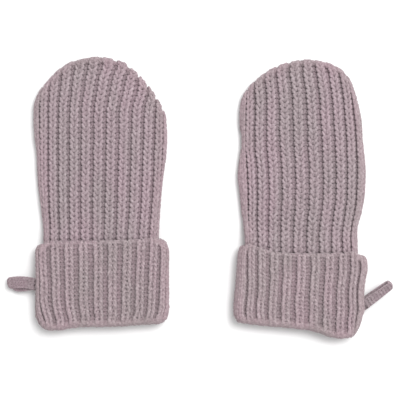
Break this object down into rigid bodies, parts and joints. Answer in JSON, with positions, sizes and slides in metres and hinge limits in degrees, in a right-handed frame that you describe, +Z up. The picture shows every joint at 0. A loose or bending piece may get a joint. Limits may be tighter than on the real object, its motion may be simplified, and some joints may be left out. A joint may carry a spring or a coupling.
{
  "type": "pair of baby mittens",
  "caption": "Thumbless baby mittens in rib knit, laid flat side by side, with turned-up cuffs and a hanging loop at each outer side seam.",
  "frame": {"origin": "middle of the pair's footprint, on the surface that the mittens lie on", "axes": "+Z up from the surface, +Y from the wrists to the finger tips, +X from the left mitten to the right one"},
  "size_m": [0.1934, 0.141, 0.0133],
  "materials": {
    "hand_rib": "matte",
    "cuff_rib": "matte",
    "loop_tape": "matte"
  },
  "bodies": {
    "root": {"left_front": "hand_rib", "left_back": "hand_rib", "left_cuff_front": "cuff_rib", "left_cuff_back": "cuff_rib", "left_loop": "loop_tape", "right_front": "hand_rib", "right_back": "hand_rib", "right_cuff_front": "cuff_rib", "right_cuff_back": "cuff_rib", "right_loop": "loop_tape"}
  },
  "joints": []
}
